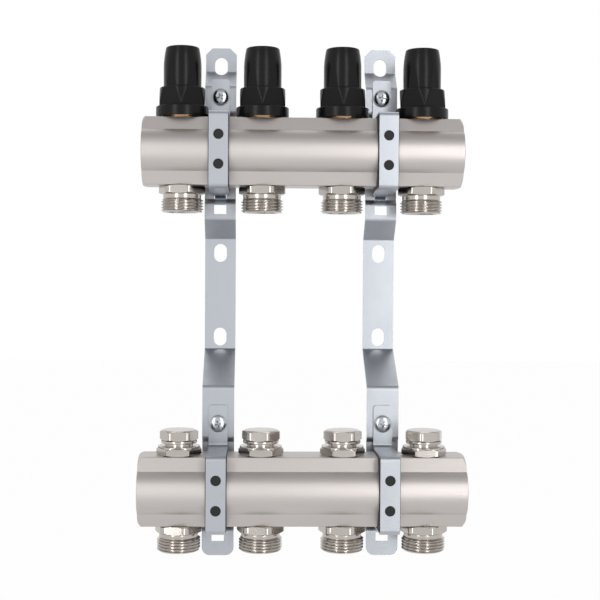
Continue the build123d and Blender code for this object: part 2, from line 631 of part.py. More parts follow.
supply_pieces = {"supply_insert": supply_insert(), "valve_pin": valve_pin(), "disc_seal": disc_seal(),
                 "valve_spring": valve_spring(), "hand_cap": hand_cap(), "supply_outlet": outlet()}
return_pieces = {"return_body": return_body(), "spindle": spindle(), "spindle_oring": spindle_oring(),
                 "cap_seal": cap_seal(), "return_outlet": outlet()}
glands = []
for number, x in enumerate(OUTLET_X, 1):
    above = Pos(x, UPPER_Y, HALF_SPACING)
    below = Pos(x, LOWER_Y, -HALF_SPACING)
    for name, shape in supply_pieces.items():
        write(name + "_" + str(number), [above * shape])
    for name, shape in return_pieces.items():
        write(name + "_" + str(number), [below * shape])
    turn = Rot(0, 0, CAP_TURN[(number - 1) % len(CAP_TURN)])
    write("return_cap_" + str(number), [below * turn * return_cap()])
    glands.append(above * gland_nut())
write("gland_nuts", glands)
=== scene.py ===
"""Dresses the distribution manifold: two nickel plated bars on folded brackets, black hand caps, valve caps and threaded outlets."""
import logging
import math
from dataclasses import dataclass, field
from enum import Enum
from typing import Any, Callable, Iterable

import bmesh
import bpy
from mathutils import Matrix, Vector


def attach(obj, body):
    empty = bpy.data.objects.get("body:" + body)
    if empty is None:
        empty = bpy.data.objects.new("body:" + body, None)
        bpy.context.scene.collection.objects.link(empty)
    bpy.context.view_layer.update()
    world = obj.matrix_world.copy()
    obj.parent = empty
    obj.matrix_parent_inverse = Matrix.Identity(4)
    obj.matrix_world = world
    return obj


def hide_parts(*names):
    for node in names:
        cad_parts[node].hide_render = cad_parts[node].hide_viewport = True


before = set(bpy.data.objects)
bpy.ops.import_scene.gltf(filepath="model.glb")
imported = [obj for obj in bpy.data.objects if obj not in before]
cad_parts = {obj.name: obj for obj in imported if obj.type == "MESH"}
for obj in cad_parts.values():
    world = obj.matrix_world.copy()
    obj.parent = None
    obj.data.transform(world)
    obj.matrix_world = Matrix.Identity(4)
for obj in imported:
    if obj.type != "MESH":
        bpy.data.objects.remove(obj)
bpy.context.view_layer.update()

MM = 0.001
OUTLET_X = (-75.0, -25.0, 25.0, 75.0)
BRACKET_X = (-51.8, 51.8)
UPPER = (-34.0, 103.5)
LOWER = (-54.0, -103.5)

log = logging.getLogger("manifold")
logging.basicConfig(level=logging.INFO, format="%(name)s: %(message)s")


class Pattern(Enum):
    """How a finish's fine marks run."""

    DRAWN = "streaks along the bar"
    TURNED = "fine rings about the upright axis"
    SPANGLED = "soft patches of zinc"
    MOULDED = "fine even grain"


class NodeWriter:
    """Adds nodes of a shader or geometry tree, each by its type, settings and inputs."""

    def __init__(self, tree: bpy.types.NodeTree) -> None:
        """Starts on an empty tree."""
        self.tree = tree
        tree.nodes.clear()

    def add(self, kind: str, settings: dict[str, Any] | None = None, inputs: dict[Any, Any] | None = None) -> bpy.types.Node:
        """Adds one node.

        Args:
            kind: The node's type name.
            settings: Properties that are set first.
            inputs: Values, sockets or wrapped sockets, by the input's name or number.

        Returns:
            The new node.
        """
        node = self.tree.nodes.new(kind)
        for name, value in (settings or {}).items():
            setattr(node, name, value)
        for name, value in (inputs or {}).items():
            target = node.inputs[name]
            if isinstance(value, Value):
                value = value.socket
            if isinstance(value, bpy.types.NodeSocket):
                self.tree.links.new(value, target)
            else:
                target.default_value = value
        return node

    def value(self, kind: str, output: Any = 0, settings: dict[str, Any] | None = None,
              inputs: dict[Any, Any] | None = None) -> "Value":
        """Adds one node and wraps one of its outputs.

        Args:
            kind: The node's type name.
            output: The output's name or number.
            settings: Properties that are set first.
            inputs: Values or sockets by the input's name or number.

        Returns:
            The wrapped output.
        """
        return Value(self, self.add(kind, settings, inputs).outputs[output])


class Value:
    """A socket that takes part in Python expressions by adding Math nodes."""

    def __init__(self, writer: NodeWriter, socket: bpy.types.NodeSocket) -> None:
        """Wraps one output socket of the writer's tree."""
        self.writer = writer
        self.socket = socket

    def math(self, operation: str, *terms: Any) -> "Value":
        """Adds a Math node on this socket and the other terms, in the order given."""
        return self.writer.value("ShaderNodeMath", 0, {"operation": operation}, dict(enumerate(terms)))

    def __add__(self, other: Any) -> "Value":
        """This plus other."""
        return self.math("ADD", self, other)

    def __radd__(self, other: Any) -> "Value":
        """Other plus this."""
        return self.math("ADD", other, self)

    def __sub__(self, other: Any) -> "Value":
        """This less other."""
        return self.math("SUBTRACT", self, other)

    def __rsub__(self, other: Any) -> "Value":
        """Other less this."""
        return self.math("SUBTRACT", other, self)

    def __mul__(self, other: Any) -> "Value":
        """This times other."""
        return self.math("MULTIPLY", self, other)

    def __rmul__(self, other: Any) -> "Value":
        """Other times this."""
        return self.math("MULTIPLY", other, self)

    def __truediv__(self, other: Any) -> "Value":
        """This over other."""
        return self.math("DIVIDE", self, other)

    def __rtruediv__(self, other: Any) -> "Value":
        """Other over this."""
        return self.math("DIVIDE", other, self)


@dataclass(frozen=True)
class Finish:
    """One surface finish and the shader that makes it."""

    name: str
    slot: str
    colour: tuple[float, float, float]
    shade: tuple[float, float, float]
    roughness: float
    swing: float
    metallic: float
    pattern: Pattern
    bump: float
    specular: float = 0.5

    def scales(self) -> tuple[tuple[float, float, float], tuple[float, float, float]]:
        """The fine and the broad pattern's scale along x, y and z, in marks per metre."""
        if self.pattern is Pattern.DRAWN:
            return (60.0, 2600.0, 2600.0), (14.0, 60.0, 60.0)
        if self.pattern is Pattern.TURNED:
            return (90.0, 90.0, 4200.0), (70.0, 70.0, 200.0)
        if self.pattern is Pattern.SPANGLED:
            return (900.0, 900.0, 900.0), (95.0, 95.0, 60.0)
        return (2600.0, 2600.0, 2600.0), (60.0, 60.0, 60.0)

    def build(self) -> bpy.types.Material:
        """Builds the material.

        Returns:
            The finished material, with its colour, roughness and bump patterns on Object coordinates.
        """
        material = bpy.data.materials.new(self.name)
        material.use_nodes = True
        writer = NodeWriter(material.node_tree)
        place = writer.value("ShaderNodeTexCoord", "Object")
        fine_scale, broad_scale = self.scales()
        fine_at = writer.value("ShaderNodeMapping", 0, {}, {"Vector": place, "Scale": fine_scale})
        broad_at = writer.value("ShaderNodeMapping", 0, {}, {"Vector": place, "Scale": broad_scale})
        fine = writer.value("ShaderNodeTexNoise", 0, {}, {"Vector": fine_at, "Scale": 1.0, "Detail": 3.0})
        broad = writer.value("ShaderNodeTexNoise", 0, {}, {"Vector": broad_at, "Scale": 1.0, "Detail": 2.0})
        amount = broad * 0.7 + fine * 0.3
        colour = writer.value("ShaderNodeMix", 2, {"data_type": "RGBA"},
                              {0: amount, 6: (*self.colour, 1.0), 7: (*self.shade, 1.0)})
        rough = self.roughness + (amount - 0.5) * self.swing
        bump = writer.value("ShaderNodeBump", 0, {}, {"Height": fine, "Distance": self.bump, "Strength": 0.5})
        shader = writer.value("ShaderNodeBsdfPrincipled", 0, {},
                              {"Base Color": colour, "Roughness": rough, "Metallic": self.metallic,
                               "Specular IOR Level": self.specular, "Normal": bump})
        writer.add("ShaderNodeOutputMaterial", {}, {"Surface": shader})
        return material


NICKEL_BAR = Finish("nickel_plated_bar", "nickel_plate", (0.57, 0.535, 0.518), (0.47, 0.438, 0.422), 0.42, 0.08, 1.0,
                    Pattern.DRAWN, 0.000004)
NICKEL_TURNED = Finish("nickel_turned", "nickel_plate", (0.52, 0.488, 0.458), (0.42, 0.39, 0.36), 0.20, 0.08, 1.0,
                       Pattern.TURNED, 0.000004)
ZINC = Finish("zinc_sheet", "zinc_steel", (0.47, 0.49, 0.525), (0.36, 0.382, 0.415), 0.34, 0.16, 1.0,
              Pattern.SPANGLED, 0.000006)
SCREW_STEEL = Finish("zinc_screw", "zinc_steel", (0.52, 0.54, 0.56), (0.40, 0.43, 0.46), 0.20, 0.08, 1.0,
                     Pattern.TURNED, 0.000003)
BLACK_PLASTIC = Finish("black_moulded", "black_plastic", (0.003, 0.003, 0.0035), (0.006, 0.0058, 0.006), 0.27, 0.08, 0.0,
                       Pattern.MOULDED, 0.000006, 0.17)
BRASS = Finish("bare_brass_part", "bare_brass", (0.74, 0.52, 0.33), (0.60, 0.40, 0.22), 0.24, 0.08, 1.0,
               Pattern.TURNED, 0.000004)
RUBBER = Finish("black_rubber_part", "black_rubber", (0.010, 0.010, 0.011), (0.019, 0.0185, 0.018), 0.55, 0.12, 0.0,
                Pattern.MOULDED, 0.00001, 0.25)
STAINLESS = Finish("stainless_part", "stainless", (0.58, 0.57, 0.55), (0.50, 0.49, 0.47), 0.22, 0.06, 1.0,
                   Pattern.TURNED, 0.000003)


class Finishes:
    """Builds each finish once and hands it out."""

    def __init__(self) -> None:
        """Starts with no material built."""
        self.made: dict[str, bpy.types.Material] = {}

    def get(self, finish: Finish) -> bpy.types.Material:
        """The finish's material, built on first use."""
        if finish.name not in self.made:
            self.made[finish.name] = finish.build()
        return self.made[finish.name]


@dataclass(frozen=True)
class Row:
    """One ring of a turned or many-sided solid: its height, its round limit and the distance of its flats, in mm."""

    z: float
    r: float
    flat: float | None = None
    count: int = 6
    phase: float = 0.0
    pitch: float = 0.0
    depth: float = 0.0

    def radius(self, angle: float) -> float:
        """The ring's radius at an angle in radians, cut by the flats and by the thread's groove.

        Args:
            angle: The angle about the upright axis, in radians.

        Returns:
            The radius in mm.
        """
        radius = self.r
        if self.flat is not None:
            step = 2 * math.pi / self.count
            off = (angle - math.radians(self.phase) + step / 2) % step - step / 2
            radius = min(radius, self.flat / math.cos(off))
        if self.depth:
            turn = (self.z / self.pitch + angle / (2 * math.pi)) % 1.0
            ridge = min(1.0, max(0.0, 1.35 - abs(turn - 0.5) * 3.4))
            radius -= self.depth * (1.0 - ridge)
        return radius


def arc_rows(z: float, r: float, radius: float, start: float, end: float, steps: int = 4, **cut: Any) -> list[Row]:
    """Rows round an edge.

    Args:
        z: Height of the arc's centre in mm.
        r: Radius of the arc's centre in mm.
        radius: The edge's own radius in mm.
        start: First angle in degrees, 0 outwards and 90 up.
        end: Last angle in degrees.
        steps: Number of steps.
        **cut: Flats, as a Row takes them, with the flat's distance given for the arc's outermost point.

    Returns:
        The rows in order.
    """
    rows = []
    flat = cut.pop("flat", None)
    for i in range(steps + 1):
        a = math.radians(start + (end - start) * i / steps)
        inset = radius * (1 - math.cos(a))
        rows.append(Row(z + radius * math.sin(a), r + radius * math.cos(a), None if flat is None else flat - inset, **cut))
    return rows


def shell(rows: Iterable[Row], centre: tuple[float, float, float], segments: int = 120, closed_ring: bool = False,
          turn: float = 0.0) -> bpy.types.Mesh:
    """Builds a closed skin through rings about an upright axis.

    Args:
        rows: The rings in order, inner skin first, so that the faces can be turned outwards at the end.
        centre: The axis' x and y and the height's zero, in mm.
        segments: Points on each ring.
        closed_ring: True for a tube, whose last ring joins its first, else both ends close in a point.
        turn: The whole piece's turn about its axis in degrees.

    Returns:
        The mesh in metres.
    """
    bm = bmesh.new()
    rings: list[list[bmesh.types.BMVert]] = []
    for row in rows:
        if row.r <= 1e-6:
            rings.append([bm.verts.new((centre[0] * MM, centre[1] * MM, (centre[2] + row.z) * MM))])
            continue
        ring = []
        for i in range(segments):
            a = 2 * math.pi * i / segments
            r = row.radius(a)
            b = a + math.radians(turn)
            ring.append(bm.verts.new(((centre[0] + r * math.cos(b)) * MM, (centre[1] + r * math.sin(b)) * MM,
                                      (centre[2] + row.z) * MM)))
        rings.append(ring)
    pairs = list(zip(rings, rings[1:]))
    if closed_ring:
        pairs.append((rings[-1], rings[0]))
    for low, high in pairs:
        for i in range(segments):
            j = (i + 1) % segments
            if len(low) == 1 and len(high) == 1:
                continue
            if len(low) == 1:
                bm.faces.new((low[0], high[j], high[i]))
            elif len(high) == 1:
                bm.faces.new((low[i], low[j], high[0]))
            else:
                bm.faces.new((low[i], low[j], high[j], high[i]))
    bmesh.ops.remove_doubles(bm, verts=bm.verts, dist=1e-6)
    bmesh.ops.recalc_face_normals(bm, faces=bm.faces)
    mesh = bpy.data.meshes.new("shell")
    bm.to_mesh(mesh)
    bm.free()
    return mesh


def smooth(mesh: bpy.types.Mesh, angle: float = 28.0) -> bpy.types.Mesh:
    """Shades a mesh smooth except over edges sharper than the angle in degrees."""
    mesh.shade_smooth()
    mesh.set_sharp_from_angle(angle=math.radians(angle))
    return mesh


def new_piece(name: str, mesh: bpy.types.Mesh, material: bpy.types.Material | None = None) -> bpy.types.Object:
    """Puts a mesh into the scene as a named piece.

    Args:
        name: The piece's name.
        mesh: Its mesh, in place.
        material: Its material, or None where the mesh already has one.

    Returns:
        The new object at the origin.
    """
    mesh.name = name
    if material is not None:
        mesh.materials.clear()
        mesh.materials.append(material)
    piece = bpy.data.objects.new(name, mesh)
    bpy.context.scene.collection.objects.link(piece)
    return piece


def settle(piece: bpy.types.Object, body: str, slot: str, *nodes: str) -> bpy.types.Object:
    """Lets a finished piece ride and stand for its CAD nodes.

    Args:
        piece: The finished piece.
        body: The body it moves with.
        slot: The record's material slot; not used.
        *nodes: The CAD nodes that it stands for.

    Returns:
        The same piece.
    """
    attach(piece, body)
    if nodes:
        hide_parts(*nodes)
    log.info("%s: %d faces on %s", piece.name, len(piece.data.polygons), body)
    return piece


class SetOut:
    """The geometry tree that sets copies of one piece on marked points."""

    def __init__(self) -> None:
        """Builds the tree with its named inputs."""
        self.tree = bpy.data.node_groups.new("set_out_on_points", "GeometryNodeTree")
        face = self.tree.interface
        face.new_socket("Geometry", in_out="OUTPUT", socket_type="NodeSocketGeometry")
        face.new_socket("Geometry", in_out="INPUT", socket_type="NodeSocketGeometry")
        self.keys: dict[str, str] = {}
        for name, kind in (("Piece", "NodeSocketObject"), ("Finish", "NodeSocketMaterial"),
                           ("Axis", "NodeSocketVector"), ("Greatest Turn", "NodeSocketFloat"), ("Seed", "NodeSocketInt")):
            self.keys[name] = face.new_socket(name, in_out="INPUT", socket_type=kind).identifier
        writer = NodeWriter(self.tree)
        given = writer.add("NodeGroupInput")
        info = writer.add("GeometryNodeObjectInfo", {"transform_space": "ORIGINAL"}, {"Object": given.outputs["Piece"]})
        angle = writer.value("FunctionNodeRandomValue", 1, {"data_type": "FLOAT"},
                             {2: 0.0, 3: given.outputs["Greatest Turn"], "Seed": given.outputs["Seed"]})
        turn = writer.add("FunctionNodeAxisAngleToRotation", {}, {"Axis": given.outputs["Axis"], "Angle": angle})
        copies = writer.add("GeometryNodeInstanceOnPoints", {},
                            {"Points": given.outputs["Geometry"], "Instance": info.outputs["Geometry"],
                             "Rotation": turn.outputs[0]})
        real = writer.add("GeometryNodeRealizeInstances", {}, {"Geometry": copies.outputs[0]})
        dressed = writer.add("GeometryNodeSetMaterial", {}, {"Geometry": real.outputs[0], "Material": given.outputs["Finish"]})
        writer.add("NodeGroupOutput", {}, {"Geometry": dressed.outputs[0]})

    def place(self, name: str, pattern: bpy.types.Mesh, points: list[tuple[float, float, float]],
              material: bpy.types.Material, axis: tuple[float, float, float] = (0.0, 0.0, 1.0),
              greatest_turn: float = 0.0, seed: int = 0) -> bpy.types.Object:
        """Sets copies of a mesh on points and makes them one plain piece.

        Args:
            name: The new piece's name.
            pattern: The mesh to copy, about the origin.
            points: The places in mm.
            material: The material of every copy.
            axis: The axis that copies turn about.
            greatest_turn: The most that a copy turns, in radians.
            seed: The seed of the turns.

        Returns:
            The plain piece, with its places in its mesh.
        """
        source = new_piece(name + "_pattern", pattern)
        marks = bpy.data.meshes.new(name + "_marks")
        marks.from_pydata([tuple(v * MM for v in p) for p in points], [], [])
        carrier = new_piece(name + "_carrier", marks)
        modifier = carrier.modifiers.new("set_out", "NODES")
        modifier.node_group = self.tree
        for key, value in (("Piece", source), ("Finish", material), ("Axis", axis), ("Greatest Turn", greatest_turn),
                           ("Seed", seed)):
            modifier[self.keys[key]] = value
        bpy.context.view_layer.update()
        graph = bpy.context.evaluated_depsgraph_get()
        mesh = bpy.data.meshes.new_from_object(carrier.evaluated_get(graph))
        carrier.modifiers.remove(modifier)
        bpy.data.objects.remove(carrier)
        bpy.data.objects.remove(source)
        piece = new_piece(name, mesh)
        if not mesh.materials:
            mesh.materials.append(material)
        return piece


@dataclass
class HandCaps:
    """The four black hand caps: round collar, skirt with five leaning flats, tapered grip."""

    rim: float = 21.7
    collar_r: float = 16.5
    collar_top: float = 28.2
    skirt_low_r: float = 14.9
    skirt_top_r: float = 14.1
    skirt_low_flat: float = 12.0
    skirt_top_flat: float = 13.3
    skirt_top: float = 40.0
    grip_r: float = 11.75
    grip_flat: float = 11.2
    grip_taper: float = 54.0
    grip_top: float = 64.2
    grip_top_r: float = 10.5
    dome: float = 0.5
    segments: int = 160

    def rows(self) -> list[Row]:
        """The cap's rings, from the roof of its bore down, round the rim and up the outside."""
        cut: dict[str, Any] = {"count": 5, "phase": -54.0}
        rows = [Row(63.6, 0.0), Row(63.6, 8.4), Row(38.4, 8.4), Row(38.4, 10.0), Row(27.0, 10.0), Row(27.0, 15.05),
                Row(self.rim, 15.05)]
        rows += arc_rows(self.rim + 0.35, self.collar_r - 0.35, 0.35, -90, 0, 3)
        rows += arc_rows(self.collar_top - 0.7, self.collar_r - 0.7, 0.7, 0, 90, 5)
        foot = self.collar_top
        rows.append(Row(foot, self.skirt_low_r + 0.3, self.skirt_low_flat + 0.3, **cut))
        rows.append(Row(foot + 0.1, self.skirt_low_r + 0.08, self.skirt_low_flat + 0.1, **cut))
        edge = 0.7
        for i in range(13):
            t = i / 12
            z = foot + 0.3 + (self.skirt_top - edge - foot - 0.3) * t
            rows.append(Row(z, self.skirt_low_r + (self.skirt_top_r - self.skirt_low_r) * t,
                            self.skirt_low_flat + (self.skirt_top_flat - self.skirt_low_flat) * t, **cut))
        rows += arc_rows(self.skirt_top - edge, self.skirt_top_r - edge, edge, 10, 90, 5, flat=self.skirt_top_flat, **cut)
        rows.append(Row(self.skirt_top, self.grip_r + 0.35, self.grip_flat + 0.35, **cut))
        rows.append(Row(self.skirt_top + 0.1, self.grip_r + 0.1, self.grip_flat + 0.1, **cut))
        for i in range(11):
            t = i / 10
            z = self.skirt_top + 0.35 + (self.grip_taper - self.skirt_top - 0.35) * t
            rows.append(Row(z, self.grip_r, self.grip_flat + (self.grip_r - self.grip_flat) * t, **cut))
        for i in range(1, 9):
            t = i / 8
            rows.append(Row(self.grip_taper + (self.grip_top - self.grip_taper) * t,
                            self.grip_r + (self.grip_top_r - self.grip_r) * (0.35 * t + 0.65 * t * t)))
        rows += arc_rows(self.grip_top, self.grip_top_r - 1.0, 1.0, 10, 80, 6)
        lip = self.grip_top_r - 1.0
        for i in range(6):
            r = lip * (1 - i / 5)
            rows.append(Row(self.grip_top + 1.0 + self.dome * (1 - (r / lip) ** 2), r))
        return rows

    def build(self, finishes: Finishes) -> None:
        """Builds the four caps, each on its own body."""
        for n, x in enumerate(OUTLET_X, 1):
            mesh = smooth(shell(self.rows(), (x, *UPPER), self.segments), 24.0)
            piece = new_piece(f"hand_cap_skin_{n}", mesh, finishes.get(BLACK_PLASTIC))
            settle(piece, f"hand_cap_{n}", "black_plastic", f"hand_cap_{n}")


@dataclass
class Outlets:
    """The eight threaded outlets: nut with turned corners, bright neck, G3/4 thread, socket."""

    seat: float = -14.5
    bar_half: float = 21.0
    nut_flat: float = 13.3
    nut_corner: float = 14.6
    nut_low: float = -26.2
    neck_r: float = 11.9
    thread_top: float = -29.0
    thread_r: float = 13.22
    thread_depth: float = 1.16
    thread_pitch: float = 1.814
    end: float = -37.4
    segments: int = 120

    def rows(self, phase: float) -> list[Row]:
        """The outlet's rings as a tube, from the seat down the outside and back up the bore."""
        cut: dict[str, Any] = {"flat": self.nut_flat, "count": 6, "phase": phase}
        rows = [Row(self.seat, 6.2), Row(self.seat, 8.2), Row(self.seat - 1, 8.2), Row(self.seat - 1, 9.3),
                Row(-self.bar_half, 9.3)]
        for i in range(7):
            t = i / 6
            rows.append(Row(-self.bar_half - 0.62 * t, 13.25 + (self.nut_corner - 13.25) * t, **cut))
        for i in range(1, 4):
            rows.append(Row(-self.bar_half - 0.62 - (self.nut_low * -1 - self.bar_half - 1.42) * i / 3, self.nut_corner, **cut))
        for i in range(1, 8):
            t = i / 7
            rows.append(Row(self.nut_low + 0.8 * (1 - t), self.nut_corner + (12.95 - self.nut_corner) * t, **cut))
        rows += [Row(self.nut_low, self.neck_r + 0.25), Row(self.nut_low - 0.25, self.neck_r),
                 Row(self.thread_top + 0.5, self.neck_r), Row(self.thread_top + 0.2, self.neck_r - 0.1)]
        steps = 56
        for i in range(steps + 1):
            z = self.thread_top + (self.end - self.thread_top) * i / steps
            from_end = z - self.end
            r = min(self.thread_r, self.thread_r - 1.0 + from_end * 1.1, self.neck_r + (self.thread_top - z) * 1.6)
            depth = max(0.0, min(self.thread_depth, r - (self.thread_r - self.thread_depth)))
            rows.append(Row(z, r, pitch=self.thread_pitch, depth=depth))
        rows += [Row(self.end, 10.3), Row(self.end + 1.2, 9.1), Row(self.end + 11, 9.1), Row(self.end + 11, 6.2)]
        return rows

    def build(self, finishes: Finishes, set_out: SetOut) -> None:
        """Builds both rows of outlets, one piece for each bar."""
        for name, level, phase in (("supply_outlet", UPPER, 24.0), ("return_outlet", LOWER, 20.0)):
            pattern = smooth(shell(self.rows(phase), (0.0, 0.0, 0.0), self.segments, True), 30.0)
            piece = set_out.place(f"{name}_row", pattern, [(x, *level) for x in OUTLET_X], finishes.get(NICKEL_TURNED))
            settle(piece, "frame", "nickel_plate", *(f"{name}_{n}" for n in range(1, 5)))


@dataclass
class ReturnValves:
    """The four return valves on the lower bar: bodies with a hexagon and ring, and hexagon caps."""

    body_flat: float = 12.0
    cap_flat: float = 10.5
    cap_corner: float = 11.7
    cap_turns: tuple[float, ...] = (2.0, -9.0, 0.0, 14.0)
    segments: int = 120

    def body_rows(self) -> list[Row]:
        """The valve body's rings as a tube."""
        cut: dict[str, Any] = {"flat": self.body_flat, "count": 6, "phase": 30.0}
        rows = [Row(14.5, 4.65), Row(14.5, 9.3), Row(21.0, 9.3)]
        for i in range(7):
            t = i / 6
            rows.append(Row(21.0 + 0.7 * t, 11.9 + 1.9 * t, **cut))
        rows += [Row(23.0, 13.8, **cut), Row(24.6, 13.8, **cut)]
        for i in range(1, 6):
            rows.append(Row(24.6 + 0.7 * i / 5, 13.8 - 0.9 * i / 5, **cut))
        rows += arc_rows(26.2, 12.5, 0.4, 0, 90, 4)
        rows += [Row(26.6, 8.6), Row(32.6, 8.6), Row(33.2, 8.0), Row(33.2, 4.65)]
        return rows

    def cap_rows(self) -> list[Row]:
        """The cap's rings, from the roof of its cavity down and up the outside."""
        cut: dict[str, Any] = {"flat": self.cap_flat, "count": 6, "phase": 30.0}
        rows = [Row(34.2, 0.0), Row(34.2, 8.65), Row(28.3, 8.65), Row(28.3, 10.7), Row(28.5, 10.95), Row(28.7, 11.0),
                Row(29.8, 11.0)]
        for i in range(7):
            t = i / 6
            rows.append(Row(30.0 + 0.75 * t, 10.35 + (self.cap_corner - 10.35) * t, **cut))
        rows += [Row(32.0, self.cap_corner, **cut), Row(34.0, self.cap_corner, **cut), Row(35.2, self.cap_corner, **cut)]
        for i in range(1, 9):
            t = i / 8
            rows.append(Row(35.2 + 0.9 * t, self.cap_corner + (10.05 - self.cap_corner) * t, **cut))
        rows += [Row(36.17, 9.9), Row(36.2, 9.7), Row(36.2, 5.0), Row(36.2, 0.0)]
        return rows

    def build(self, finishes: Finishes, set_out: SetOut) -> None:
        """Builds the bodies as one row and each cap on its own body."""
        pattern = smooth(shell(self.body_rows(), (0.0, 0.0, 0.0), self.segments, True))
        bodies = set_out.place("return_body_row", pattern, [(x, *LOWER) for x in OUTLET_X], finishes.get(NICKEL_TURNED))
        settle(bodies, "frame", "nickel_plate", *(f"return_body_{n}" for n in range(1, 5)))
        for n, (x, turn) in enumerate(zip(OUTLET_X, self.cap_turns), 1):
            mesh = smooth(shell(self.cap_rows(), (x, *LOWER), self.segments, turn=turn))
            piece = new_piece(f"return_cap_skin_{n}", mesh, finishes.get(NICKEL_TURNED))
            settle(piece, f"return_cap_{n}", "nickel_plate", f"return_cap_{n}")


@dataclass
class ClampScrews:
    """The four pan-head screws with a cross recess, through the straps' tabs."""

    head_r: float = 5.4
    head_h: float = 3.0
    edge_h: float = 1.0
    shank_r: float = 2.5
    length: float = 7.5
    recess: float = 2.2
    blade: float = 1.1
    reach: float = 5.4
    above: float = 37.5
    tab: float = 18.5

    def rows(self) -> list[Row]:
        """The screw's rings along its own axis, tip first."""
        rows = [Row(-self.length, 0.0), Row(-self.length, self.shank_r - 0.5), Row(-self.length + 0.5, self.shank_r),
                Row(0.0, self.shank_r), Row(0.0, self.head_r - 0.2), Row(0.2, self.head_r)]
        rise = self.head_h - self.edge_h
        for i in range(13):
            t = i / 12
            a = t * math.pi / 2
            rows.append(Row(self.edge_h + rise * math.sin(a), self.head_r * math.cos(a) if i < 12 else 0.0))
        return rows

    def cutter(self) -> bpy.types.Mesh:
        """The tapering cross that cuts the recess."""
        bm = bmesh.new()
        for turn in (0.0, math.pi / 2):
            corners = []
            for z, half, wide in ((self.head_h - self.recess, 0.55, 0.42), (self.head_h + 0.4, self.reach / 2, self.blade / 2)):
                corners.append([bm.verts.new(Matrix.Rotation(turn, 3, "Z") @ Vector((x * MM, y * MM, z * MM)))
                                for x, y in ((-half, -wide), (half, -wide), (half, wide), (-half, wide))])
            low, high = corners
            bm.faces.new(low[::-1])
            bm.faces.new(high)
            for i in range(4):
                j = (i + 1) % 4
                bm.faces.new((low[i], low[j], high[j], high[i]))
        bmesh.ops.recalc_face_normals(bm, faces=bm.faces)
        mesh = bpy.data.meshes.new("cross")
        bm.to_mesh(mesh)
        bm.free()
        return mesh

    def build(self, finishes: Finishes, set_out: SetOut) -> None:
        """Cuts one screw and sets four of it out, each with its own turn."""
        body = new_piece("screw_body", shell(self.rows(), (0.0, 0.0, 0.0), 64))
        cross = new_piece("screw_cross", self.cutter())
        cut = body.modifiers.new("recess", "BOOLEAN")
        cut.operation = "DIFFERENCE"
        cut.solver = "EXACT"
        cut.use_self = True
        cut.object = cross
        bpy.context.view_layer.update()
        mesh = bpy.data.meshes.new_from_object(body.evaluated_get(bpy.context.evaluated_depsgraph_get()))
        bpy.data.objects.remove(body)
        bpy.data.objects.remove(cross)
        mesh.transform(Matrix.Rotation(math.pi / 2, 4, "X"))
        mesh = smooth(mesh, 30.0)
        points = [(x, y + self.tab, z + self.above) for y, z in (UPPER, LOWER) for x in BRACKET_X]
        piece = set_out.place("clamp_screw_set", mesh, points, finishes.get(SCREW_STEEL), (0.0, 1.0, 0.0), 1.5, 4)
        settle(piece, "frame", "zinc_steel", "clamp_screws")


@dataclass
class SheetWork:
    """Bars, brackets and straps: the CAD shapes with their cut edges broken as plating leaves them."""

    edges: dict[str, float] = field(default_factory=lambda: {
        "supply_rail": 0.25, "return_rail": 0.25, "left_bracket": 0.22, "right_bracket": 0.22,
        "left_upper_strap": 0.22, "left_lower_strap": 0.22, "right_upper_strap": 0.22, "right_lower_strap": 0.22})

    def broken(self, node: str, width: float) -> bpy.types.Mesh:
        """Copies a CAD node's mesh, merges it and breaks its sharp edges.

        Args:
            node: The CAD node.
            width: The broken edge's width in mm.

        Returns:
            The new mesh.
        """
        bm = bmesh.new()
        bm.from_mesh(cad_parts[node].data)
        bmesh.ops.remove_doubles(bm, verts=bm.verts, dist=2e-6)
        bmesh.ops.dissolve_limit(bm, angle_limit=math.radians(0.6), verts=bm.verts, edges=bm.edges)
        mesh = bpy.data.meshes.new(node + "_broken")
        bm.to_mesh(mesh)
        bm.free()
        carrier = new_piece(node + "_carrier", mesh)
        bevel = carrier.modifiers.new("edges", "BEVEL")
        bevel.width = width * MM
        bevel.segments = 2
        bevel.limit_method = "ANGLE"
        bevel.angle_limit = math.radians(42)
        bevel.use_clamp_overlap = True
        bpy.context.view_layer.update()
        result = bpy.data.meshes.new_from_object(carrier.evaluated_get(bpy.context.evaluated_depsgraph_get()))
        bpy.data.objects.remove(carrier)
        return smooth(result, 35.0)

    def build(self, finishes: Finishes) -> None:
        """Builds each piece from its CAD node."""
        for node, width in self.edges.items():
            finish = NICKEL_BAR if node.endswith("rail") else ZINC
            piece = new_piece(f"{node}_plated", self.broken(node, width), finishes.get(finish))
            settle(piece, "frame", finish.slot, node)


